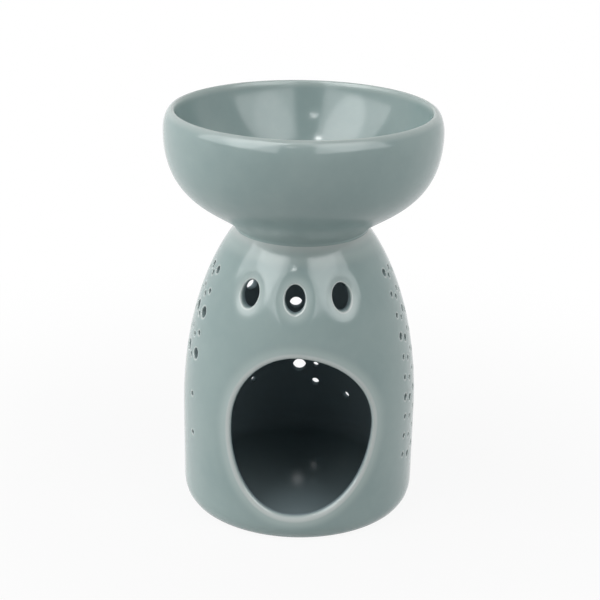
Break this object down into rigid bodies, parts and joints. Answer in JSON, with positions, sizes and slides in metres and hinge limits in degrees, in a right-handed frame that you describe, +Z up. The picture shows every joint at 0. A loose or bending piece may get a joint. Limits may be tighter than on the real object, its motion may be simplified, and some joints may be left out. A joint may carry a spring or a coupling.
{
  "type": "essential oil burner",
  "caption": "Glazed ceramic oil burner: an oil bowl that lifts off a pierced, dome-shaped body with an egg-shaped front opening and a chamber for a tea light.",
  "frame": {"origin": "centre of the flat foot, on the table", "axes": "+Z up along the axis of the body and the bowl, -Y out of the front opening, +X to the right as seen from the front"},
  "size_m": [0.0856, 0.0856, 0.1288],
  "materials": {
    "body_glaze": "glossy grey-green glaze, paler where it thins on edges",
    "bowl_glaze": "glossy grey-green glaze, paler where it thins on the lip"
  },
  "bodies": {
    "burner": {"burner_body": "body_glaze"},
    "bowl": {"oil_bowl": "bowl_glaze"}
  },
  "joints": [
    {"name": "bowl_lift", "type": "slide", "parent": "burner", "child": "bowl", "axis": [0, 0, 1], "range_m": [0, 0.03]}
  ]
}
